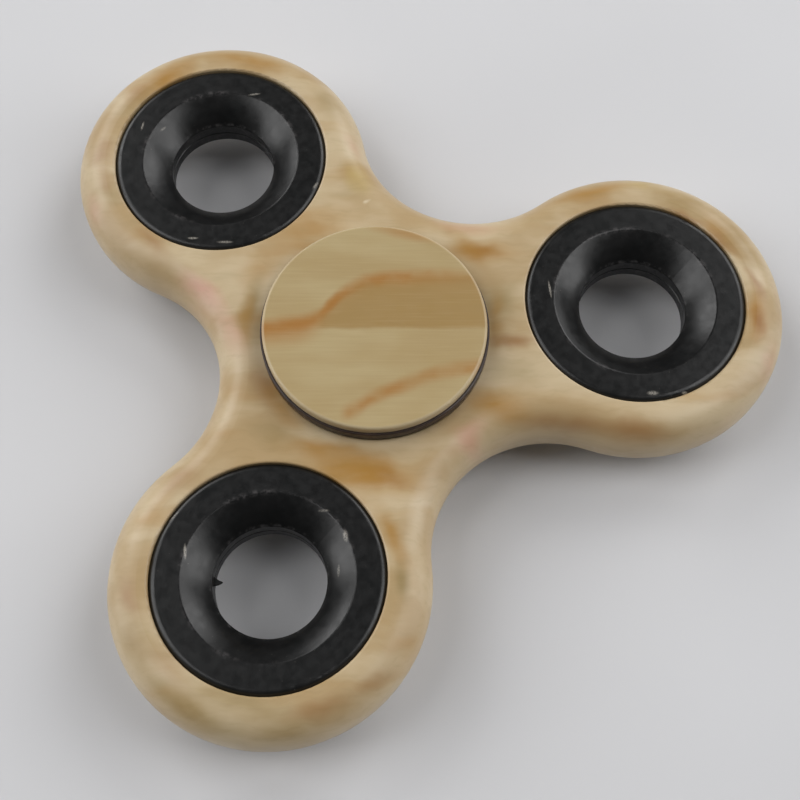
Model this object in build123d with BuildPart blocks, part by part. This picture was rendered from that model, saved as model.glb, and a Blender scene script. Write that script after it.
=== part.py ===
from build123d import *

import os
from math import cos, pi, radians, sin

# Three-lobed fidget spinner. A moulded body carries three black ring weights, each made of an upper
# and a lower half, and turns on a ball bearing whose inner ring is held between two finger caps.
#
# Millimetres, +Z up. The origin is on the spin axis, at the underside of the lower cap, where the
# spinner stands. One lobe points along +Y. Everything mirrors about the body's mid-plane.

# ---------------------------------------------------------------- driving dimensions
# body
body_thickness = 7.0
lobe_count = 3
lobe_wall = 4.2  # plastic outside each weight
web_wall = 4.2  # plastic between the bearing's socket and a weight's socket
valley_wall = 4.75  # plastic outside the bearing's socket, at the bottom of a valley
rim_fillet = 3.2  # rounding of the outer rim, top and bottom
rim_band = 0.3  # least straight band left between the two roundings
socket_edge = 0.2  # rounding where a socket meets a face

# ring weights
weight_diameter = 22.0
weight_recess = 0.1  # how far a weight sits below the body's face
weight_shoulder = 0.65  # rounding of the weight's outer edge
dish_diameter = 16.2  # where the dish meets the weight's flat face
dish_bulge = 0.2  # how far the dish's wall swells out from a plain cone
dish_lip = 0.35  # rounding of the dish's edge
throat_diameter = 10.7
throat_length = 2.4
throat_edge = 0.15  # rounding where the dish meets the throat
seam_bevel = 0.08  # on each half, where the two halves meet in the throat

# ball bearing, size 608
bearing_bore = 8.0
bearing_diameter = 22.0
bearing_width = 7.0
bearing_corner = 0.3
ball_diameter = 3.969
ball_count = 7
ball_play = 0.01  # between a ball and each raceway
groove_conformity = 0.515  # raceway radius over ball diameter
groove_depth = 0.54  # from a ring's shoulder to the bottom of its raceway
ring_step = 0.8  # how much narrower the inner ring is beside a shield
shield_clearance = 0.135  # between the cage's cups and a shield
shield_thickness = 0.3
shield_gap = 0.15  # between a shield and the inner ring, beside it and under it
seat_step = 0.6  # from the outer ring's shoulder out to the shield's recess
clip_wire = 0.34
clip_bite = 0.2  # depth of the groove that a clip springs into
clip_play = 0.01
clip_opening = 24.0  # degrees
cage_sheet = 0.35
cage_play = 0.08  # between a ball and its pocket
cage_side_gap = 0.28  # between the cage and each ring's shoulder
rivet_shank = 0.45
rivet_head = 0.8
rivet_head_height = 0.25

# finger caps
cap_overhang = 0.2  # how far a cap reaches past the bearing
cap_proud = 2.4  # from the body's face to the cap's face
cap_gap = 0.3  # from the body's face to the cap's underside
cap_underside_edge = 0.2
cap_shoulder_edge = 0.12
face_inset = 0.25  # step from the moulding's rim in to the face disc
face_thickness = 1.0
face_edge = 0.3
boss_margin = 0.25  # between the boss and the shield's hole
stem_gap = 0.15  # from a stem's tip to the mid-plane
stem_lead = 0.3
stem_wall = 1.6
core_roof = 0.6  # plastic between a stem's hollow and the face disc

# ---------------------------------------------------------------- derived sizes
weight_radius = weight_diameter / 2
bearing_radius = bearing_diameter / 2
lobe_pitch = bearing_radius + web_wall + weight_radius
lobe_radius = weight_radius + lobe_wall
waist_radius = bearing_radius + valley_wall
half_body = body_thickness / 2
half_bearing = bearing_width / 2
half_stack = max(half_body, half_bearing)
middle = half_stack + cap_proud
rim_rounding = min(rim_fillet, half_body - rim_band / 2, lobe_wall - 2 * socket_edge)

pitch_radius = (bearing_bore + bearing_diameter) / 4
ball_radius = ball_diameter / 2
pocket_radius = ball_radius + cage_play
cup_radius = pocket_radius + cage_sheet
groove_radius = groove_conformity * ball_diameter
inner_groove_centre = pitch_radius - ball_radius - ball_play + groove_radius
outer_groove_centre = pitch_radius + ball_radius + ball_play - groove_radius
inner_shoulder = pitch_radius - ball_radius + groove_depth
outer_shoulder = pitch_radius + ball_radius - groove_depth
shield_seat = cup_radius + shield_clearance
recess_radius = outer_shoulder + seat_step
cage_inside = inner_shoulder + cage_side_gap
cage_outside = outer_shoulder - cage_side_gap
inner_step = inner_shoulder - ring_step
inner_land = shield_seat - shield_gap
shield_hole = inner_step + shield_gap
clip_height = shield_seat + shield_thickness + clip_wire / 2

cap_radius = bearing_radius + cap_overhang
cap_top = half_stack + cap_proud
cap_underside = half_stack + cap_gap
face_seat = cap_top - face_thickness
face_radius = cap_radius - face_inset
stem_radius = bearing_bore / 2
core_radius = stem_radius - stem_wall
boss_radius = shield_hole - boss_margin

os.makedirs("parts", exist_ok=True)


# ---------------------------------------------------------------- helpers
def write(piece, name):
    """Names a finished piece and writes its STEP file."""
    piece.part.label = name
    export_step(piece.part, f"parts/{name}.step")


def half_section(side=1, foot=(0, 0)):
    """The upright plane for a turned piece whose axis stands at foot. Its local x is the radius.
    Its local y is the height above the body's mid-plane, or the depth below it when side is -1."""
    return Plane(origin=(foot[0], foot[1], middle), x_dir=(1, 0, 0), z_dir=(0, -side, 0))


def corner(section, radius, height):
    """The corner of a half-section at that radius and height."""
    return section.vertices().sort_by_distance((radius, height, 0))[0]


def on_lobe(index, radius=lobe_pitch):
    """The point at that radius along a lobe's centre line. A half index is a valley's."""
    turn = pi / 2 + index * 2 * pi / lobe_count
    return Vector(radius * cos(turn), radius * sin(turn))


# ---------------------------------------------------------------- body
def valley_arc_radius():
    """Radius of the hollow arc that touches the waist circle and the lobes on both sides."""
    reach = lobe_pitch * cos(pi / lobe_count)
    spread = waist_radius**2 + lobe_pitch**2 - lobe_radius**2 - 2 * waist_radius * reach
    return spread / (2 * (lobe_radius - waist_radius + reach))


def body_outline():
    """The closed outline: a round arc about each lobe, then a hollow arc through the valley."""
    valley_centre_radius = waist_radius + valley_arc_radius()
    for index in range(lobe_count):
        lobe = on_lobe(index)
        next_lobe = on_lobe(index + 1)
        valley_before = on_lobe(index - 0.5, valley_centre_radius)
        valley_after = on_lobe(index + 0.5, valley_centre_radius)
        start = lobe + (valley_before - lobe).normalized() * lobe_radius
        end = lobe + (valley_after - lobe).normalized() * lobe_radius
        next_start = next_lobe + (valley_after - next_lobe).normalized() * lobe_radius
        ThreePointArc(start, on_lobe(index, lobe_pitch + lobe_radius), end)
        ThreePointArc(end, on_lobe(index + 0.5, waist_radius), next_start)


with BuildPart() as spinner_body:
    with BuildSketch(Plane.XY.offset(middle)):
        with BuildLine():
            body_outline()
        make_face()
    extrude(amount=half_body, both=True)
    fillet(spinner_body.faces().filter_by(Axis.Z).edges(), radius=rim_rounding)
    with Locations((0, 0, middle)):
        Cylinder(bearing_radius, body_thickness, mode=Mode.SUBTRACT)
        with PolarLocations(lobe_pitch, lobe_count, start_angle=90):
            Cylinder(weight_radius, body_thickness, mode=Mode.SUBTRACT)
    socket_mouths = spinner_body.faces().filter_by(Axis.Z).edges().filter_by(lambda edge: edge.is_closed)
    fillet(socket_mouths, radius=socket_edge)
write(spinner_body, "spinner_body")


# ---------------------------------------------------------------- ring weights
def make_weight_half(side, foot):
    """Half of a ring weight: a flat annulus, a shallow dish, and half of the plain throat. The
    other half is the same piece turned over, and they meet on the mid-plane."""
    throat_radius = throat_diameter / 2
    dish_radius = dish_diameter / 2
    top = half_body - weight_recess
    throat_top = throat_length / 2
    slope = Vector(throat_radius - dish_radius, throat_top - top)
    out_of_metal = Vector(slope.Y, -slope.X).normalized()
    dish_middle = Vector(dish_radius, top) + slope / 2 + out_of_metal * dish_bulge
    with BuildPart() as weight:
        with BuildSketch(half_section(side, foot)) as section:
            with BuildLine():
                Polyline((throat_radius, throat_top), (throat_radius, 0), (weight_radius, 0))
                Polyline((weight_radius, 0), (weight_radius, top), (dish_radius, top))
                ThreePointArc((dish_radius, top), dish_middle, (throat_radius, throat_top))
            make_face()
            chamfer(corner(section, throat_radius, 0), length=seam_bevel)
            fillet(corner(section, weight_radius, top), radius=weight_shoulder)
            fillet(corner(section, dish_radius, top), radius=dish_lip)
            fillet(corner(section, throat_radius, throat_top), radius=throat_edge)
        revolve(axis=Axis((foot[0], foot[1], 0), (0, 0, 1)))
    return weight


for index in range(lobe_count):
    centre = on_lobe(index)
    for side, place in ((1, "upper"), (-1, "lower")):
        write(make_weight_half(side, (centre.X, centre.Y)), f"ring_weight_{index + 1}_{place}")


# ---------------------------------------------------------------- bearing rings
with BuildPart() as outer_ring:
    with BuildSketch(half_section()) as section:
        with BuildLine():
            Polyline(
                (outer_shoulder, -shield_seat),
                (recess_radius, -shield_seat),
                (recess_radius, -half_bearing),
                (bearing_radius, -half_bearing),
                (bearing_radius, half_bearing),
                (recess_radius, half_bearing),
                (recess_radius, shield_seat),
                (outer_shoulder, shield_seat),
                close=True,
            )
        make_face()
        for height in (half_bearing, -half_bearing):
            fillet(corner(section, bearing_radius, height), radius=bearing_corner)
        with Locations((outer_groove_centre, 0)):
            Circle(groove_radius, mode=Mode.SUBTRACT)
        with Locations((recess_radius, clip_height), (recess_radius, -clip_height)):
            Rectangle(2 * clip_bite, clip_wire + 2 * clip_play, mode=Mode.SUBTRACT)
    revolve(axis=Axis.Z)
write(outer_ring, "bearing_outer_ring")

with BuildPart() as inner_ring:
    with BuildSketch(half_section()) as section:
        with BuildLine():
            Polyline(
                (stem_radius, -half_bearing),
                (inner_step, -half_bearing),
                (inner_step, -inner_land),
                (inner_shoulder, -inner_land),
                (inner_shoulder, inner_land),
                (inner_step, inner_land),
                (inner_step, half_bearing),
                (stem_radius, half_bearing),
                close=True,
            )
        make_face()
        for height in (half_bearing, -half_bearing):
            fillet(corner(section, stem_radius, height), radius=bearing_corner)
        with Locations((inner_groove_centre, 0)):
            Circle(groove_radius, mode=Mode.SUBTRACT)
    revolve(axis=Axis.Z)
write(inner_ring, "bearing_inner_ring")


# ---------------------------------------------------------------- balls and cage
for index in range(ball_count):
    turn = radians(360 * index / ball_count)
    with BuildPart() as ball:
        with Locations((pitch_radius * cos(turn), pitch_radius * sin(turn), middle)):
            Sphere(ball_radius)
    write(ball, f"bearing_ball_{index + 1}")

between_balls = 180 / ball_count


def make_cage_half(side):
    """One pressed half of the cage: a flat ribbon, cupped over each ball, with rivet holes."""
    with BuildPart() as cage:
        with Locations((0, 0, middle)):
            Cylinder(cage_outside, 2 * cage_sheet)
            with PolarLocations(pitch_radius, ball_count):
                Sphere(cup_radius)
        with BuildSketch(Plane.XY.offset(middle)):
            Circle(cage_outside)
            Circle(cage_inside, mode=Mode.SUBTRACT)
        extrude(amount=side * (cup_radius + cage_sheet), mode=Mode.INTERSECT)
        with Locations((0, 0, middle)):
            with PolarLocations(pitch_radius, ball_count):
                Sphere(pocket_radius, mode=Mode.SUBTRACT)
            with PolarLocations(pitch_radius, ball_count, start_angle=between_balls):
                Cylinder(rivet_shank / 2, 4 * cage_sheet, mode=Mode.SUBTRACT)
    return cage


write(make_cage_half(1), "bearing_cage_upper")
write(make_cage_half(-1), "bearing_cage_lower")

with BuildPart() as rivets:
    with Locations((0, 0, middle)):
        with PolarLocations(pitch_radius, ball_count, start_angle=between_balls):
            Cylinder(rivet_shank / 2, 2 * cage_sheet)
            with Locations((0, 0, cage_sheet), (0, 0, -cage_sheet - rivet_head_height)):
                Cylinder(rivet_head / 2, rivet_head_height, align=(Align.CENTER, Align.CENTER, Align.MIN))
write(rivets, "bearing_cage_rivets")


# ---------------------------------------------------------------- shields and their clips
def make_shield(side):
    """A pressed steel washer that closes the gap between the two bearing rings."""
    with BuildPart() as shield:
        with BuildSketch(Plane.XY.offset(middle + side * shield_seat)):
            Circle(recess_radius)
            Circle(shield_hole, mode=Mode.SUBTRACT)
        extrude(amount=side * shield_thickness)
    return shield


def make_clip(side):
    """A ring of spring wire with a gap in it, sprung into its groove to hold the shield."""
    with BuildPart() as clip:
        with BuildSketch(half_section(side)):
            with Locations((recess_radius, clip_height)):
                Circle(clip_wire / 2)
        revolve(axis=Axis.Z, revolution_arc=360 - clip_opening)
    return clip


for side, place in ((1, "top"), (-1, "bottom")):
    write(make_shield(side), f"bearing_shield_{place}")
    write(make_clip(side), f"shield_clip_{place}")


# ---------------------------------------------------------------- finger caps
def make_button(side):
    """A cap's moulding: a disc, a boss that seats on the bearing's inner ring, and a hollow stem
    that is pressed into its bore."""
    with BuildPart() as button:
        with BuildSketch(half_section(side)) as section:
            with BuildLine():
                Polyline(
                    (core_radius, stem_gap),
                    (stem_radius, stem_gap),
                    (stem_radius, half_bearing),
                    (boss_radius, half_bearing),
                    (boss_radius, cap_underside),
                    (cap_radius, cap_underside),
                    (cap_radius, face_seat),
                    (0, face_seat),
                    (0, face_seat - core_roof),
                    (core_radius, face_seat - core_roof),
                    close=True,
                )
            make_face()
            chamfer(corner(section, stem_radius, stem_gap), length=stem_lead)
            fillet(corner(section, cap_radius, cap_underside), radius=cap_underside_edge)
            fillet(corner(section, cap_radius, face_seat), radius=cap_shoulder_edge)
        revolve(axis=Axis.Z)
    return button


def make_face_disc(side):
    """The wood-grained disc bonded to the outside of a cap, with a rounded edge."""
    with BuildPart() as face_disc:
        with BuildSketch(half_section(side)) as section:
            with BuildLine():
                Polyline(
                    (0, face_seat),
                    (face_radius, face_seat),
                    (face_radius, cap_top),
                    (0, cap_top),
                    close=True,
                )
            make_face()
            fillet(corner(section, face_radius, cap_top), radius=face_edge)
        revolve(axis=Axis.Z)
    return face_disc


for side, place in ((1, "top"), (-1, "bottom")):
    write(make_button(side), f"{place}_cap_button")
    write(make_face_disc(side), f"{place}_cap_face")
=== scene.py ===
# %% [markdown]
# # A wood-look hand spinner
#
# This lesson dresses a three-armed hand spinner: a plastic body covered in a printed wood film, three black
# steel rings that give the arms their weight, a small ball bearing in the middle, and a wood-look cap on each
# side to hold it by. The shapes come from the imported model. Here we add the camera, the light, the finishes
# and one small casting flaw, and every cell says why it is done that way.

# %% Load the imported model
import math

import bmesh
import bpy
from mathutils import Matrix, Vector


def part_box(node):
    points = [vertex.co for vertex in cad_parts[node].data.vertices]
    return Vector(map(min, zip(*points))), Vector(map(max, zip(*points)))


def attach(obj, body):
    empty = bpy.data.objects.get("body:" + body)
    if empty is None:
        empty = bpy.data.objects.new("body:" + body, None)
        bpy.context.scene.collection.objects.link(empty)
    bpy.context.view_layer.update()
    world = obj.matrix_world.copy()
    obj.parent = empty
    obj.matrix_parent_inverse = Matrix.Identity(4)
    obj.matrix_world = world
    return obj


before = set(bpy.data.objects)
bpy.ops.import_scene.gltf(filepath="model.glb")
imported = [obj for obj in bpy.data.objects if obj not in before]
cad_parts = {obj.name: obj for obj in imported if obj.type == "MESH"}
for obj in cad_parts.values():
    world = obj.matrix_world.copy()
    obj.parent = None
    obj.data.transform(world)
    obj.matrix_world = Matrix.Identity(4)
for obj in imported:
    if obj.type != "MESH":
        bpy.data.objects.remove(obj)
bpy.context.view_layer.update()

MM = 0.001
print("nodes:", len(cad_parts))

# %% [markdown]
# ## Where things are
#
# The spin axis is the line x = 0, y = 0, and each arm carries one ring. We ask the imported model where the
# rings and the faces are, so that every later step is tied to the real part. All finish sizes are in
# millimetres, because grain, wear and dust are easier to judge in millimetres than in metres.

# %% Measure the spinner
ring_middles = []
for number in (1, 2, 3):
    low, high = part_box(f"ring_weight_{number}_upper")
    ring_middles.append(((low.x + high.x) / 2 / MM, (low.y + high.y) / 2 / MM))
body_low, body_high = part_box("spinner_body")
cap_low, cap_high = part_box("top_cap_face")
body_top = body_high.z / MM
body_foot = body_low.z / MM
cap_top = cap_high.z / MM
cap_radius = (cap_high.x - cap_low.x) / 2 / MM
print("ring middles:", [(round(x, 2), round(y, 2)) for x, y in ring_middles])
print("body from", round(body_foot, 2), "to", round(body_top, 2), "mm")
print("cap top", round(cap_top, 2), "mm, radius", round(cap_radius, 2), "mm")

# %% [markdown]
# ## The camera
#
# The spinner lies on a table and is seen from above and a little from the front. The camera stands only 14 cm
# away, where a wide-open lens would blur most of the spinner, so depth of field stays off. The near clipping
# distance is one centimetre for the same reason.

# %% Set up the camera
lens = bpy.data.cameras.new("table_camera")
lens.sensor_width = 36.0
lens.lens = 59.94
lens.clip_start = 0.01
lens.clip_end = 20.0
lens.dof.use_dof = False
camera = bpy.data.objects.new("table_camera", lens)
camera.location = (-0.032973, -0.045987, 0.127831)
camera.rotation_euler = (0.39606, 0.00226, -0.67038)
bpy.context.scene.collection.objects.link(camera)
bpy.context.scene.camera = camera
picture_right = Vector((0.785, -0.620, 0.0))
picture_up = Vector((0.620, 0.785, 0.0))
print("camera stands", round(camera.location.length, 3), "m from the foot of the spin axis")

# %% [markdown]
# ## Short calls for finish nodes
#
# A finish is a small graph of nodes. Written out in full it takes four lines for each node, so these helpers
# make one node in one line, and link an input whenever they are given another node's output.
# `place` is where on the object a point lies, in millimetres. It is tied to the object, so the finish stays
# put when the spinner spins.

# %% Helpers that build a finish
def colour(red, green, blue):
    """A colour from a paint card, 0 to 255, as the light values that Blender works with."""
    steps = []
    for value in (red, green, blue):
        value /= 255
        steps.append(value / 12.92 if value <= 0.04045 else ((value + 0.055) / 1.055) ** 2.4)
    return (*steps, 1.0)


def new_finish(name):
    """An empty finish, and the shader that its nodes will feed."""
    finish = bpy.data.materials.new(name)
    finish.use_nodes = True
    return finish, finish.node_tree, finish.node_tree.nodes["Principled BSDF"]


def add(tree, kind, inputs=(), **settings):
    """One node. Each input is a plain value, or another node's output to link in."""
    made = tree.nodes.new("ShaderNode" + kind)
    for name, value in settings.items():
        setattr(made, name, value)
    for name, value in dict(inputs).items():
        if isinstance(value, bpy.types.NodeSocket):
            tree.links.new(value, made.inputs[name])
        else:
            made.inputs[name].default_value = value
    return made


def join(tree, value, shader, socket):
    """Feeds a node's output into one of the shader's sockets."""
    tree.links.new(value, shader.inputs[socket])


def place_on_object(tree, middle=(0.0, 0.0, 0.0), turn=0.0):
    """Millimetres on the object, from a middle, with x turned to lie along `turn` degrees."""
    spot = add(tree, "TexCoord").outputs["Object"]
    spot = add(tree, "VectorMath", {0: spot, "Scale": 1 / MM}, operation="SCALE").outputs[0]
    return add(
        tree,
        "Mapping",
        {"Vector": spot, "Location": middle, "Rotation": (0.0, 0.0, math.radians(turn))},
        vector_type="TEXTURE",
    ).outputs[0]


def split(tree, place):
    """The x, y and z of a place."""
    parts = add(tree, "SeparateXYZ", {0: place})
    return parts.outputs[0], parts.outputs[1], parts.outputs[2]


def from_upright_axis(tree, place):
    """How far a place lies from the upright axis through its middle."""
    level = add(tree, "VectorMath", {0: place, 1: (1.0, 1.0, 0.0)}, operation="MULTIPLY").outputs[0]
    return add(tree, "VectorMath", {0: level}, operation="LENGTH").outputs["Value"]


def maths(tree, operation, first, second=0.0, third=0.0):
    """One sum on numbers that change from point to point."""
    return add(tree, "Math", {0: first, 1: second, 2: third}, operation=operation).outputs[0]


def fade(tree, value, start, end, low=0.0, high=1.0):
    """Goes smoothly from low to high as value goes from start to end."""
    return add(
        tree,
        "MapRange",
        {"Value": value, "From Min": start, "From Max": end, "To Min": low, "To Max": high},
        interpolation_type="SMOOTHSTEP",
    ).outputs[0]


def paint(tree, amount, under, over):
    """Lays one colour over another. Amount is 0 for none and 1 for full cover."""
    mixed = add(tree, "Mix", data_type="RGBA")
    for socket, value in ((0, amount), (6, under), (7, over)):
        if isinstance(value, bpy.types.NodeSocket):
            tree.links.new(value, mixed.inputs[socket])
        else:
            mixed.inputs[socket].default_value = value
    return mixed.outputs[2]


def mottle(tree, place, grain, stretch=(1.0, 1.0, 1.0), detail=3.0, roughness=0.5, shift=0.0):
    """Cloudy noise from 0 to 1. Grain is the size of its clouds in mm, stretched along each direction."""
    offset = (shift, shift * 0.7, shift * 0.3)
    scale = [1 / (grain * along) for along in stretch]
    scaled = add(tree, "Mapping", {"Vector": place, "Location": offset, "Scale": scale}).outputs[0]
    cloud = add(tree, "TexNoise", {"Vector": scaled, "Scale": 1.0, "Detail": detail, "Roughness": roughness})
    return cloud.outputs["Fac"]


def wander(tree, place, grain, reach, shift=0.0):
    """Pushes a place about by up to `reach` mm, so that edges drawn on it are no longer ruled."""
    scale = [1 / grain] * 3
    scaled = add(tree, "Mapping", {"Vector": place, "Location": (shift, 0, 0), "Scale": scale}).outputs[0]
    cloud = add(tree, "TexNoise", {"Vector": scaled, "Scale": 1.0, "Detail": 2.0}).outputs["Color"]
    push = add(tree, "VectorMath", {0: cloud, 1: (0.5, 0.5, 0.5)}, operation="SUBTRACT").outputs[0]
    push = add(tree, "VectorMath", {0: push, "Scale": 2 * reach}, operation="SCALE").outputs[0]
    return add(tree, "VectorMath", {0: place, 1: push}, operation="ADD").outputs[0]


def oval(tree, place, middle, size, turn=0.0, core=0.0):
    """1 in the middle of a soft oval blot and 0 outside it. Size is half its length, width and depth."""
    local = add(
        tree,
        "Mapping",
        {"Vector": place, "Location": middle, "Rotation": (0.0, 0.0, math.radians(turn)), "Scale": size},
        vector_type="TEXTURE",
    ).outputs[0]
    away = add(tree, "VectorMath", {0: local}, operation="LENGTH").outputs["Value"]
    return fade(tree, away, 1.0, core)


def raise_surface(tree, shader, height, depth, strength=1.0):
    """Turns a height from 0 to 1 into small bumps `depth` mm deep."""
    bump = add(tree, "Bump", {"Height": height, "Distance": depth * MM, "Strength": strength})
    join(tree, bump.outputs[0], shader, "Normal")


print("helpers ready")

# %% [markdown]
# ## The table and the light
#
# A small satin thing is mostly a soft mirror of the room, so the light is set before any finish is judged.
# The table is matt and pale. The room is lit by tall soft windows on the left and on the right and by two
# smaller ones on the far side, and the ceiling straight above is dim. That is what keeps the flat faces of
# the black rings dark, gives their left and right walls a grey sheen, and lets little light fall straight
# down through the holes.

# %% Lay the table
def flat_sheet(name, width, height):
    """A level sheet of mesh at z = 0, cut fine enough to shade evenly."""
    shape = bmesh.new()
    bmesh.ops.create_grid(shape, x_segments=24, y_segments=24, size=0.5)
    bmesh.ops.scale(shape, vec=(width, height, 1.0), verts=shape.verts)
    mesh = bpy.data.meshes.new(name)
    shape.to_mesh(mesh)
    shape.free()
    sheet = bpy.data.objects.new(name, mesh)
    bpy.context.scene.collection.objects.link(sheet)
    return sheet


table_top = flat_sheet("table_top", 4.0, 4.0)
table_finish, tree, shader = new_finish("pale_table")
place = place_on_object(tree)
smudge = mottle(tree, place, 45.0, detail=2.0)
look = paint(tree, fade(tree, smudge, 0.3, 0.7), colour(212, 212, 214), colour(216, 216, 218))
join(tree, look, shader, "Base Color")
shader.inputs["Roughness"].default_value = 0.75
shader.inputs["Specular IOR Level"].default_value = 0.25
raise_surface(tree, shader, mottle(tree, place, 0.35, detail=3.0), 0.01, 0.3)
table_top.data.materials.append(table_finish)
print("table top", [round(v, 2) for v in table_top.dimensions])


# %% Hang the soft windows
def soft_panel(name, around, up, width, height, power):
    """A tall soft light one metre away that faces the spinner.

    Around is the angle in degrees from the right-hand side, counted towards the far side, and up is the
    angle above the table. Width and height are in metres, and power in watts."""
    panel = bpy.data.lights.new(name, "AREA")
    panel.shape = "RECTANGLE"
    panel.size = width
    panel.size_y = height
    panel.energy = power
    holder = bpy.data.objects.new(name, panel)
    sideways = picture_right * math.cos(math.radians(around)) + picture_up * math.sin(math.radians(around))
    away = sideways.normalized() * math.cos(math.radians(up)) + Vector((0, 0, math.sin(math.radians(up))))
    holder.location = away + Vector((0.0, 0.0, 0.006))
    holder.rotation_euler = (-away).to_track_quat("-Z", "Y").to_euler()
    bpy.context.scene.collection.objects.link(holder)
    return holder


lamps = [
    soft_panel("left_window", 180, 36, 0.50, 1.42, 6.6),
    soft_panel("right_window", 2, 35, 0.50, 1.40, 6.5),
    soft_panel("far_left_window", 135, 33, 0.50, 0.55, 3.2),
    soft_panel("far_right_window", 48, 33, 0.50, 0.60, 3.0),
]
room = bpy.data.worlds.new("dim_room")
room.use_nodes = True
room.node_tree.nodes["Background"].inputs["Color"].default_value = (0.97, 0.98, 1.0, 1.0)
room.node_tree.nodes["Background"].inputs["Strength"].default_value = 0.06
bpy.context.scene.world = room
bpy.context.scene.view_settings.view_transform = "Standard"
print("lights:", [(lamp.name, lamp.data.energy) for lamp in lamps])

# %% [markdown]
# ## The wood film
#
# The body is moulded plastic with a wood picture laid on it by water transfer. The print is soft and cloudy:
# pale cream and tan, with honey, rust, olive and pink blots that run along one grain direction and bend
# around the arms. It could be an image wrapped on the mesh, but an image needs a flat layout and would stretch
# over the rounded edges. Blots drawn at places on the object need no layout, and they run down over the
# rounded edge. Each blot is one soft oval, given by where it is along and across the grain. It fades out with
# depth, so the underside shows only the cloudy ground. A few blots are painted shade, beside the cap and on
# the lower rims, and one is a painted highlight; the paler rounded edges are partly paler film and partly a
# painted highlight.

# %% Paint the wood film
GRAIN_TURN = -38.3  # degrees from x to the grain direction
BLOT_DEPTH = 5.0  # mm from the top face to where a blot has faded out

CREAM = colour(203, 183, 148)
TAN = colour(180, 153, 111)
HONEY = colour(167, 122, 50)
RUST = colour(146, 97, 44)
OLIVE = colour(142, 121, 73)
PINK = colour(199, 150, 125)
YELLOW = colour(188, 163, 104)
PALE = colour(222, 206, 174)
OCHRE = colour(158, 130, 78)

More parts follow.
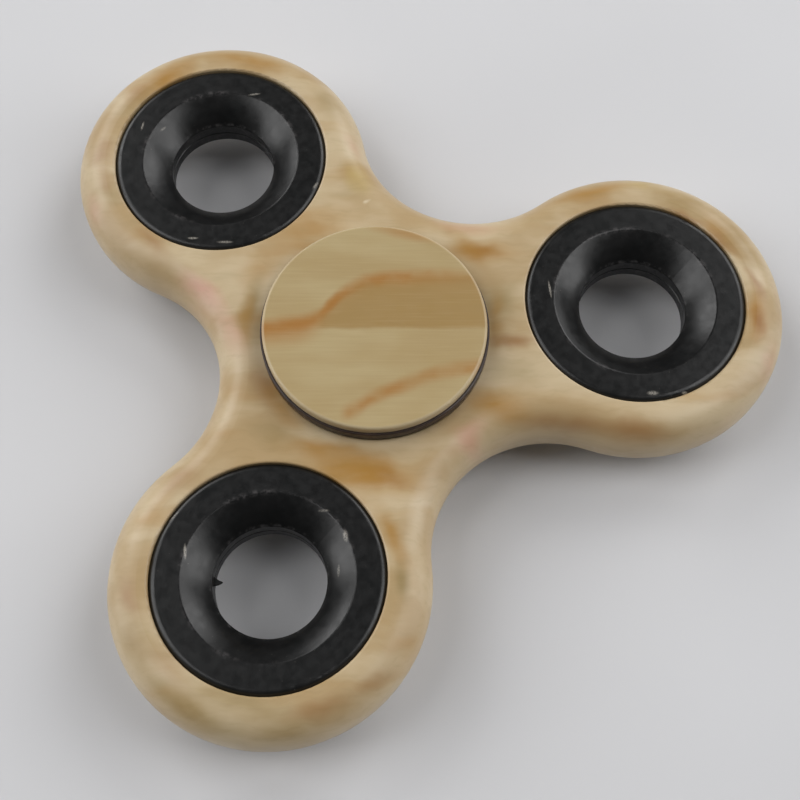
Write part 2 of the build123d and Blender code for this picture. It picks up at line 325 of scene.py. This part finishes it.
# colour, along, across, half length, half width, turn, strength
top_blots = [
    (HONEY, -22.8, 30.4, 6.0, 2.2, 36, 0.95),
    (RUST, -25.6, 28.4, 2.6, 1.5, 50, 0.45),
    (HONEY, -13.5, 32.8, 6.5, 1.8, -12, 0.80),
    (RUST, -28.6, 21.0, 2.6, 1.8, 80, 0.60),
    (RUST, -28.0, 17.6, 2.4, 1.4, 100, 0.50),
    (PINK, -29.2, 14.5, 3.0, 1.6, 110, 0.50),
    (RUST, -22.4, 10.4, 3.4, 1.4, -42, 0.45),
    (OLIVE, -5.2, 27.4, 3.2, 1.8, -60, 0.45),
    (YELLOW, -1.8, 18.0, 3.2, 1.8, -70, 0.85),
    (PINK, -2.4, 22.2, 2.4, 1.2, -75, 0.35),
    (HONEY, -6.4, 11.6, 7.0, 3.2, 30, 0.60),
    (HONEY, -11.6, 7.4, 3.6, 2.6, 40, 0.55),
    (PINK, -17.4, 5.0, 4.2, 1.7, -40, 0.95),
    (PINK, -14.3, 0.6, 4.4, 1.9, -66, 0.60),
    # painted shade: the darkening of the film beside the cap
    (OLIVE, -12.2, 3.6, 4.2, 1.4, 78, 0.70),
    # partly print, partly painted shade beside the cap's edge
    (RUST, -10.6, -5.4, 3.8, 1.9, -62, 0.50),
    (HONEY, 0.4, -14.4, 6.2, 2.8, -20, 1.00),
    (HONEY, -5.4, -12.0, 5.6, 1.6, -8, 0.80),
    (RUST, 1.4, -14.9, 3.4, 1.4, -22, 0.45),
    # partly print, partly painted shade near the cap
    (OLIVE, -9.6, -10.6, 4.6, 2.0, -20, 0.45),
    (RUST, -18.2, -15.2, 4.2, 1.6, 42, 0.40),
    (HONEY, -20.4, -18.0, 3.4, 1.4, 50, 0.40),
    (HONEY, 1.8, -20.6, 4.6, 1.3, -68, 0.85),
    (OLIVE, 2.6, -24.8, 2.8, 1.2, 92, 0.80),
    (RUST, -22.2, -26.4, 3.2, 1.3, -72, 0.45),
    (RUST, -18.4, -32.6, 4.4, 1.5, -48, 0.35),
    # partly print, partly painted shade on a lower rim that faces away from the light
    (OLIVE, -11.6, -35.8, 7.5, 1.9, -12, 0.55),
    (RUST, -4.6, -36.4, 4.2, 1.3, 12, 0.45),
    (RUST, 0.2, -33.8, 3.4, 1.2, 38, 0.35),
    (HONEY, 10.8, 9.2, 5.2, 1.9, 0, 0.90),
    (RUST, 10.6, 9.2, 3.0, 1.1, 0, 0.40),
    (PINK, 9.4, 12.2, 5.0, 1.4, -6, 0.45),
    (OLIVE, 12.4, 3.4, 3.6, 2.8, 90, 0.65),
    (RUST, 13.2, -0.8, 4.0, 1.1, 0, 0.80),
    (OLIVE, 14.0, -4.2, 4.0, 2.0, -10, 0.35),
    (HONEY, 11.4, -7.2, 5.2, 2.3, -14, 0.90),
    (RUST, 18.4, -9.3, 6.5, 1.5, -4, 0.70),
    (RUST, 25.2, -10.2, 5.0, 1.7, -8, 0.65),
    (PINK, 22.4, -12.2, 4.6, 1.3, 0, 0.50),
    (PINK, 9.2, -10.6, 3.6, 1.5, 46, 0.50),
    (HONEY, 22.4, 16.2, 5.2, 1.5, 14, 0.70),
    (YELLOW, 27.8, 17.4, 3.0, 1.2, 0, 0.70),
    (HONEY, 35.4, 11.0, 4.6, 1.3, -52, 0.95),
    (HONEY, 37.8, 2.0, 4.0, 1.4, 86, 1.00),
    (RUST, 37.9, 1.4, 2.4, 1.0, 86, 0.40),
    (PINK, 38.9, -3.2, 3.4, 1.5, 76, 0.60),
    (PINK, 35.0, -9.0, 4.0, 1.6, 44, 0.40),
    (CREAM, 39.6, 5.6, 3.6, 1.2, 92, 0.70),
    # painted highlight: a pale band of light across the web
    (CREAM, 3.9, -19.6, 4.2, 0.9, 84, 0.80),
    (HONEY, -2.2, -14.5, 6.4, 3.2, -8, 0.95),
    (HONEY, -12.6, 2.0, 4.6, 1.3, 88, 0.60),
    (HONEY, -9.0, -7.6, 4.2, 1.5, -52, 0.65),
    (HONEY, 12.0, 1.4, 4.8, 1.2, 88, 0.60),
    (HONEY, 9.4, 9.6, 3.6, 1.5, -46, 0.60),
    (RUST, 31.4, 13.4, 3.6, 0.8, -24, 0.80),
    (RUST, 35.4, 10.2, 3.4, 0.8, -50, 0.80),
    (RUST, 37.9, 5.6, 3.0, 0.8, -72, 0.65),
    (RUST, 37.8, 1.4, 2.0, 1.0, 86, 0.55),
    (PINK, -19.2, 3.4, 4.4, 1.6, -18, 0.80),
    (PINK, 10.0, -12.0, 4.2, 1.5, -40, 0.80),
    (CREAM, -28.4, 15.4, 2.8, 1.2, 100, 0.60),
    (CREAM, -15.0, -8.4, 3.6, 1.3, 58, 0.70),
    (CREAM, 4.3, -22.9, 3.4, 1.1, 92, 0.60),
    (OCHRE, 31.0, 15.0, 5.6, 2.2, -24, 1.00),
    (OCHRE, 37.0, 10.0, 5.4, 2.2, -54, 1.00),
    # painted shade: these three darken the lower rims, which face away from the light
    (OCHRE, -21.4, -30.4, 5.0, 2.1, -58, 0.90),
    (OCHRE, -16.4, -36.4, 5.2, 2.0, -34, 0.85),
    (OCHRE, -7.4, -38.8, 6.4, 2.0, 0, 0.85),
    (OCHRE, -25.4, 27.6, 5.0, 1.8, 50, 0.60),
    (PALE, -0.8, 15.0, 0.50, 0.26, 20, 1.00),
]


def wood_film():
    """The printed film: cloudy base, blots along the grain (a few of them painted shade, one a painted
    highlight), fine streaks, edges paler partly as a painted highlight, a clear coat.
    """
    film, tree, shader = new_finish("printed_wood_film")
    place = place_on_object(tree, turn=GRAIN_TURN)
    loose = wander(tree, place, 3.2, 0.75)
    _, _, height = split(tree, place)

    clouds = mottle(tree, loose, 6.0, (2.2, 1.0, 1.0), detail=3.0, shift=3.0)
    look = paint(tree, fade(tree, clouds, 0.36, 0.64), CREAM, TAN)
    warm = mottle(tree, loose, 5.0, (2.6, 0.8, 1.0), detail=2.0, shift=17.0)
    look = paint(tree, fade(tree, warm, 0.56, 0.80, 0.0, 0.55), look, HONEY)
    green = mottle(tree, loose, 4.0, (2.0, 0.9, 1.0), detail=2.0, shift=31.0)
    look = paint(tree, fade(tree, green, 0.58, 0.80, 0.0, 0.35), look, OLIVE)

    ragged = mottle(tree, place, 1.4, (2.4, 1.0, 1.0), detail=3.0, shift=8.0)
    ragged = fade(tree, ragged, 0.25, 0.65, 0.72, 1.0)
    for shade, along, across, half_length, half_width, turn, strength in top_blots:
        blot = oval(tree, loose, (along, across, body_top), (half_length, half_width, BLOT_DEPTH), turn)
        cover = maths(tree, "MULTIPLY", maths(tree, "MULTIPLY", blot, strength), ragged)
        look = paint(tree, cover, look, shade)

    # painted highlight and film colour: the rounded edges are painted paler, partly the film's own paler tone
    # and partly the light the sides catch
    edge = fade(tree, height, body_top - 0.2, body_top - 2.4, 0.0, 0.45)
    look = paint(tree, edge, look, CREAM)
    streaks = mottle(tree, loose, 0.45, (9.0, 1.0, 1.0), detail=2.0, shift=5.0)
    look = paint(tree, fade(tree, streaks, 0.45, 0.80, 0.0, 0.14), look, OLIVE)
    join(tree, look, shader, "Base Color")

    sheen = mottle(tree, place, 2.0, detail=3.0, shift=40.0)
    join(tree, fade(tree, sheen, 0.3, 0.7, 0.36, 0.46), shader, "Roughness")
    shader.inputs["Specular IOR Level"].default_value = 0.5
    shader.inputs["Coat Weight"].default_value = 0.15
    shader.inputs["Coat Roughness"].default_value = 0.30
    raise_surface(tree, shader, mottle(tree, place, 0.5, detail=3.0, shift=2.0), 0.012, 0.35)
    print("wood film:", len(tree.nodes), "nodes,", len(top_blots), "blots")
    return film


wood_film_finish = wood_film()

# %% [markdown]
# ## The cap faces
#
# Each cap has a thin disc printed with a cleaner wood picture: fine straight grain, and one growth line that
# steps up like a hill with darker wood under it. A growth line is a curve, so the height of the line along
# the grain is drawn with a curve node, and the colour depends on how far a point lies above or below it. That
# gives a line that stays soft and even, which blots can't.

# %% Print the cap faces
def growth_line(tree, along, across, bends):
    """How far a point lies above a drawn line, in mm. Bends are (along, height) pairs from left to right."""
    reach = 12.0
    curve = add(tree, "FloatCurve", {"Value": maths(tree, "MULTIPLY_ADD", along, 0.5 / reach, 0.5)})
    points = curve.mapping.curves[0].points
    for index, (at, height) in enumerate(bends):
        x, y = 0.5 + at / reach / 2, 0.5 + height / reach / 2
        if index < 2:
            points[index].location = (x, y)
        else:
            points.new(x, y)
    curve.mapping.update()
    height = maths(tree, "MULTIPLY_ADD", curve.outputs[0], 2 * reach, -reach)
    return maths(tree, "SUBTRACT", across, height)


STREAK_DEPTH = 30.0  # mm, so deep that a streak crosses the whole thickness of a face

# along, across, half length, half width, turn, strength
cap_streaks = [
    (3.2, 9.9, 5.2, 1.0, -14, 0.55),
    (-4.2, 2.2, 2.4, 0.7, 48, 0.60),
]


def cap_print(name, turn, shift, hill, hook):
    """The printed wood of one cap face, with its own grain direction, hill line and lower hook."""
    face, tree, shader = new_finish(name)
    place = place_on_object(tree, turn=turn)
    loose = wander(tree, place, 2.5, 0.22, shift)
    along, across, _ = split(tree, loose)
    light_wood, dark_wood, line_wood = colour(181, 161, 118), colour(158, 127, 74), colour(163, 110, 42)

    clouds = mottle(tree, loose, 4.0, (3.0, 1.0, 1.0), detail=2.0, shift=shift + 3.0)
    look = paint(tree, fade(tree, clouds, 0.35, 0.7, 0.0, 0.35), light_wood, dark_wood)

    above_hill = growth_line(tree, along, across, hill)
    under = fade(tree, above_hill, 0.25, -0.5)
    under = maths(tree, "MULTIPLY", under, fade(tree, across, -0.75, -0.15))
    under = maths(tree, "MULTIPLY", under, fade(tree, along, -6.2, -4.8))
    look = paint(tree, maths(tree, "MULTIPLY", under, 0.85), look, dark_wood)
    away = maths(tree, "ABSOLUTE", above_hill)
    patchy = fade(tree, mottle(tree, loose, 2.4, detail=2.0, shift=shift + 9.0), 0.3, 0.6, 0.60, 1.0)
    line = maths(tree, "MULTIPLY", fade(tree, away, 1.25, 0.05), patchy)
    line = maths(tree, "MULTIPLY", line, fade(tree, along, 4.5, 8.5, 1.0, 0.4))
    look = paint(tree, maths(tree, "MULTIPLY", line, 0.80), look, line_wood)
    glow = maths(tree, "MULTIPLY", fade(tree, above_hill, 0.6, -0.2), fade(tree, above_hill, -3.2, -0.2))
    glow = maths(tree, "MULTIPLY", glow, fade(tree, along, -3.6, -8.0, 0.1, 0.75))
    look = paint(tree, glow, look, line_wood)

    away = maths(tree, "ABSOLUTE", growth_line(tree, along, across, hook))
    line = maths(tree, "MULTIPLY", fade(tree, away, 1.25, 0.05), patchy)
    line = maths(tree, "MULTIPLY", line, fade(tree, along, -3.4, -2.2, 0.0, 0.75))
    look = paint(tree, line, look, line_wood)
    for at_along, at_across, half_length, half_width, lean, strength in cap_streaks:
        size = (half_length, half_width, STREAK_DEPTH)
        streak = oval(tree, loose, (at_along, at_across, cap_top), size, lean)
        look = paint(tree, maths(tree, "MULTIPLY", streak, strength), look, line_wood)

    fine = mottle(tree, place, 0.20, (30.0, 1.0, 1.0), detail=2.0, roughness=0.6, shift=shift)
    look = paint(tree, fade(tree, fine, 0.45, 0.75, 0.0, 0.09), look, colour(140, 116, 76))
    look = paint(tree, fade(tree, fine, 0.50, 0.25, 0.0, 0.07), look, colour(214, 197, 160))
    from_axis = from_upright_axis(tree, place)
    # pale rim: partly worn print, partly a painted highlight of the light its rounded edge catches
    pale_rim_and_highlight = fade(tree, from_axis, cap_radius - 0.35, cap_radius - 0.10, 0.0, 0.35)
    look = paint(tree, pale_rim_and_highlight, look, colour(226, 210, 178))
    join(tree, look, shader, "Base Color")

    sheen = mottle(tree, place, 1.5, shift=shift)
    join(tree, fade(tree, sheen, 0.3, 0.7, 0.40, 0.50), shader, "Roughness")
    raise_surface(tree, shader, fine, 0.008, 0.4)
    print(name, len(tree.nodes), "nodes")
    return face


top_hill = [
    (-12.0, -0.4), (-8.6, 0.0), (-5.6, 0.7), (-4.4, 2.0), (-3.3, 3.2),
    (-2.2, 4.0), (-0.5, 4.7), (4.2, 5.1), (12.0, 5.4),
]
top_hook = [(-12.0, -11.0), (-2.3, -9.1), (0.0, -7.7), (3.0, -6.4), (6.6, -5.1), (12.0, -4.4)]
bottom_hill = [
    (-12.0, -1.4), (-8.0, -0.6), (-4.8, 0.2), (-2.4, 2.4),
    (0.4, 3.9), (3.6, 4.4), (7.5, 4.1), (12.0, 3.2),
]
bottom_hook = [(-12.0, -9.5), (-2.6, -8.2), (1.0, -7.6), (4.0, -6.2), (8.0, -5.9), (12.0, -5.1)]
top_print = cap_print("cap_print_top", GRAIN_TURN, 0.0, top_hill, top_hook)
bottom_print = cap_print("cap_print_bottom", GRAIN_TURN + 118.0, 23.0, bottom_hill, bottom_hook)

# %% [markdown]
# ## The black rings
#
# Each ring is turned steel with a black finish: satin, almost even, with grey scuffs where the edges rub and
# a few pale nicks from being dropped. Rubbing happens at edges, so the wear is drawn by how far a point is
# from the ring's own axis, and broken up with noise; the grey along the dish lip is partly that wear and
# partly a painted glint of the lit lip. The nicks are small ovals at given places, one list for each ring,
# because random nicks look too even. The first mark on the second ring is no nick but a painted highlight, a
# lit arc on its lip.

# %% Blacken the rings
dish_edge = 8.1  # mm from a ring's axis to the lip of its dish
throat_edge = 5.35  # mm from a ring's axis to the wall of its hole
NICK_DEPTH = 3.5  # mm


def black_steel(name, middle, nicks):
    """Black finish for both halves of one ring.

    A nick is (x, y, half length, half width, turn, strength), measured from the ring's axis."""
    steel, tree, shader = new_finish(name)
    place = place_on_object(tree, (*middle, 0.0))
    from_axis = from_upright_axis(tree, place)

    clouds = mottle(tree, place, 2.6, detail=4.0)
    look = paint(tree, fade(tree, clouds, 0.3, 0.7), colour(11, 12, 12), colour(18, 18, 18))
    scuff = mottle(tree, place, 0.5, detail=4.0, roughness=0.7, shift=4.0)
    # grey along the dish lip: partly worn paint, partly a painted glint where the lit lip shines
    off_lip = maths(tree, "ABSOLUTE", maths(tree, "SUBTRACT", from_axis, dish_edge))
    at_lip = fade(tree, off_lip, 0.42, 0.02)
    lip_patches = fade(tree, mottle(tree, place, 4.0, detail=2.0, shift=15.0), 0.48, 0.66, 0.10, 1.0)
    lip_wear_and_glint = maths(tree, "MULTIPLY", at_lip, fade(tree, scuff, 0.42, 0.66, 0.0, 0.38))
    lip_wear_and_glint = maths(tree, "MULTIPLY", lip_wear_and_glint, lip_patches)
    look = paint(tree, lip_wear_and_glint, look, colour(104, 100, 100))
    off_mouth = maths(tree, "ABSOLUTE", maths(tree, "SUBTRACT", from_axis, throat_edge + 0.1))
    at_mouth = fade(tree, off_mouth, 0.22, 0.02)
    worn = maths(tree, "MULTIPLY", at_mouth, fade(tree, scuff, 0.5, 0.66, 0.0, 0.4))
    look = paint(tree, worn, look, colour(92, 90, 90))
    dust = mottle(tree, place, 0.22, detail=2.0, shift=12.0)
    look = paint(tree, fade(tree, dust, 0.73, 0.80, 0.0, 0.45), look, colour(120, 116, 110))
    ragged = mottle(tree, place, 0.16, detail=3.0, roughness=0.8, shift=6.0)
    ragged = fade(tree, ragged, 0.36, 0.56, 0.1, 1.0)
    for x, y, half_length, half_width, turn, strength in nicks:
        nick = oval(tree, place, (x, y, body_top), (half_length, half_width, NICK_DEPTH), turn, core=0.3)
        cover = maths(tree, "MULTIPLY", maths(tree, "MULTIPLY", nick, ragged), strength)
        look = paint(tree, cover, look, colour(176, 170, 160))
    join(tree, look, shader, "Base Color")

    sheen = mottle(tree, place, 0.9, detail=4.0, shift=9.0)
    join(tree, fade(tree, sheen, 0.3, 0.7, 0.29, 0.38), shader, "Roughness")
    shader.inputs["Specular IOR Level"].default_value = 0.5
    raise_surface(tree, shader, mottle(tree, place, 0.25, detail=3.0, shift=21.0), 0.01, 0.4)
    print(name, len(tree.nodes), "nodes,", len(nicks), "nicks")
    return steel


ring_nicks = [
    [
        (-4.2, 8.3, 0.7, 0.16, 40, 0.6),
        (-2.6, 6.9, 0.5, 0.14, 10, 0.4),
        (7.4, 4.2, 0.8, 0.16, -30, 0.6),
        (-7.8, -6.1, 0.7, 0.18, -38, 0.6),
        (-5.5, -8.5, 1.0, 0.2, -38, 0.5),
        (5.7, -8.9, 0.6, 0.2, 20, 0.6),
    ],
    [
        # painted highlight: this mark is the lit arc on one side of the lip, not a nick
        (-4.6, 6.6, 0.9, 0.18, 55, 0.8),
        (7.9, -1.4, 0.7, 0.3, 60, 0.7),
        (5.5, -3.4, 0.8, 0.18, 50, 0.5),
        (7.8, 1.8, 0.7, 0.16, -40, 0.4),
        (-3.5, 10.0, 0.8, 0.16, 10, 0.4),
    ],
    [
        (-5.5, -8.5, 0.7, 0.3, -38, 0.6),
        (-3.0, -10.4, 0.4, 0.2, -38, 0.7),
        (-1.1, -12.1, 0.6, 0.12, 0, 0.4),
        (-5.9, 6.2, 1.2, 0.14, 58, 0.7),
    ],
]
ring_finishes = [
    black_steel(f"black_ring_{index + 1}", ring_middles[index], nicks)
    for index, nicks in enumerate(ring_nicks)
]

# %% [markdown]
# ## Plastic buttons and bearing parts
#
# Under each printed face sits a dark brown plastic button, which grips the bearing. The bearing is bright
# steel: ground rings, polished balls, a pressed cage and thin shields with a brushed look. Hardly any of it
# shows between the caps and the body, but it does from a low angle, so each piece gets its own metal. Turning
# marks run around the axis, so they are drawn as noise on the distance from the axis.

# %% Make the plastic and the metals
def moulded_plastic(name, main, dark):
    """Fine-grained moulded plastic with a slight orange-peel surface."""
    plastic, tree, shader = new_finish(name)
    place = place_on_object(tree)
    clouds = mottle(tree, place, 1.6)
    join(tree, paint(tree, fade(tree, clouds, 0.3, 0.7), main, dark), shader, "Base Color")
    join(tree, fade(tree, mottle(tree, place, 0.7, shift=5.0), 0.3, 0.7, 0.38, 0.50), shader, "Roughness")
    raise_surface(tree, shader, mottle(tree, place, 0.3, detail=3.0, shift=2.0), 0.01, 0.4)
    return plastic


def turned_metal(name, main, dark, smooth, rough, marks=0.05):
    """Metal finished on a lathe: rings of fine marks around the spin axis, and faint stains."""
    metal, tree, shader = new_finish(name)
    place = place_on_object(tree)
    from_axis = from_upright_axis(tree, place)
    _, _, height = split(tree, place)
    out, up = maths(tree, "DIVIDE", from_axis, marks), maths(tree, "DIVIDE", height, marks)
    turned = add(tree, "CombineXYZ", {0: out, 1: up}).outputs[0]
    rings = add(tree, "TexNoise", {"Vector": turned, "Scale": 1.0, "Detail": 2.0}).outputs["Fac"]
    stains = mottle(tree, place, 1.8, detail=4.0)
    join(tree, paint(tree, fade(tree, stains, 0.35, 0.75), main, dark), shader, "Base Color")
    join(tree, fade(tree, rings, 0.3, 0.7, smooth, rough), shader, "Roughness")
    shader.inputs["Metallic"].default_value = 1.0
    raise_surface(tree, shader, rings, 0.004, 0.5)
    return metal


brown_plastic = moulded_plastic("dark_brown_plastic", colour(58, 41, 33), colour(44, 31, 26))
bearing_steel = turned_metal("ground_ring_steel", colour(186, 188, 190), colour(150, 152, 156), 0.16, 0.30)
ball_steel = turned_metal(
    "polished_ball_steel", colour(205, 207, 210), colour(180, 182, 186), 0.05, 0.12, 0.12
)
cage_steel = turned_metal("pressed_cage_steel", colour(168, 166, 160), colour(138, 134, 128), 0.28, 0.42)
shield_steel = turned_metal(
    "brushed_shield_steel", colour(176, 178, 180), colour(146, 148, 152), 0.24, 0.38, 0.08
)
clip_steel = turned_metal("spring_clip_steel", colour(150, 152, 156), colour(118, 120, 124), 0.26, 0.40)
metals = (bearing_steel, ball_steel, cage_steel, shield_steel, clip_steel)
print("plastic and metals:", [finish.name for finish in (brown_plastic, *metals)])

# %% [markdown]
# ## Give each part its finish
#
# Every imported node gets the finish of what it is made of. Names say what a node is, so a short table from
# name to finish is enough, and a check at the end shows that no node was forgotten.

# %% Dress the nodes
finish_by_name = {
    "spinner_body": wood_film_finish,
    "top_cap_face": top_print,
    "bottom_cap_face": bottom_print,
    "top_cap_button": brown_plastic,
    "bottom_cap_button": brown_plastic,
    "bearing_outer_ring": bearing_steel,
    "bearing_inner_ring": bearing_steel,
    "bearing_cage_upper": cage_steel,
    "bearing_cage_lower": cage_steel,
    "bearing_cage_rivets": cage_steel,
    "bearing_shield_top": shield_steel,
    "bearing_shield_bottom": shield_steel,
    "shield_clip_top": clip_steel,
    "shield_clip_bottom": clip_steel,
}
for index, finish in enumerate(ring_finishes):
    finish_by_name[f"ring_weight_{index + 1}_upper"] = finish
    finish_by_name[f"ring_weight_{index + 1}_lower"] = finish
for number in range(1, 8):
    finish_by_name[f"bearing_ball_{number}"] = ball_steel
for name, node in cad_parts.items():
    node.data.materials.clear()
    node.data.materials.append(finish_by_name[name])
print("dressed", len(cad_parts), "nodes")
print("missed", sorted(set(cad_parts) - set(finish_by_name)))

# %% [markdown]
# ## The casting flaw
#
# One ring has a thin black tooth left standing in its hole, less than a millimetre long. It is too small to
# matter to how the spinner moves, so it is made here: a flat leaf of mesh that starts inside the throat wall
# and tapers to a point, then gets a little thickness and softened edges.

# %% Model the flaw
def casting_flaw(name, middle, direction, reach, width, height, thickness):
    """A pointed leaf on the throat wall of a ring, aimed at the ring's axis. All sizes in mm."""
    outline = [
        (-0.25, 0.55), (0.10, 0.50), (0.40, 0.30), (0.62, 0.16), (0.86, 0.10),
        (1.0, 0.0), (0.84, -0.12), (0.52, -0.28), (0.22, -0.34), (-0.25, -0.45),
    ]
    wall = Vector((math.cos(direction), math.sin(direction), 0.0)) * (throat_edge + 0.02)
    inward = -wall.normalized()
    sideways = Vector((-inward.y, inward.x, 0.0))
    base = Vector((*middle, height)) + wall
    shape = bmesh.new()
    corners = [
        shape.verts.new((base + inward * (reach * a) + sideways * (width * b)) * MM) for a, b in outline
    ]
    shape.faces.new(corners)
    mesh = bpy.data.meshes.new(name)
    shape.to_mesh(mesh)
    shape.free()
    flaw = bpy.data.objects.new(name, mesh)
    bpy.context.scene.collection.objects.link(flaw)
    solid = flaw.modifiers.new("thickness", "SOLIDIFY")
    solid.thickness = thickness * MM
    solid.offset = 0.0
    soften = flaw.modifiers.new("soft_edges", "BEVEL")
    soften.width = 0.05 * MM
    soften.segments = 2
    return flaw


flaw = casting_flaw("casting_flaw", ring_middles[1], math.radians(140.0), 0.95, 1.0, 6.4, 0.22)
flaw.data.materials.append(ring_finishes[1])
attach(flaw, "rotor")
print("flaw rides the rotor at", [round(v / MM, 2) for v in flaw.data.vertices[0].co])
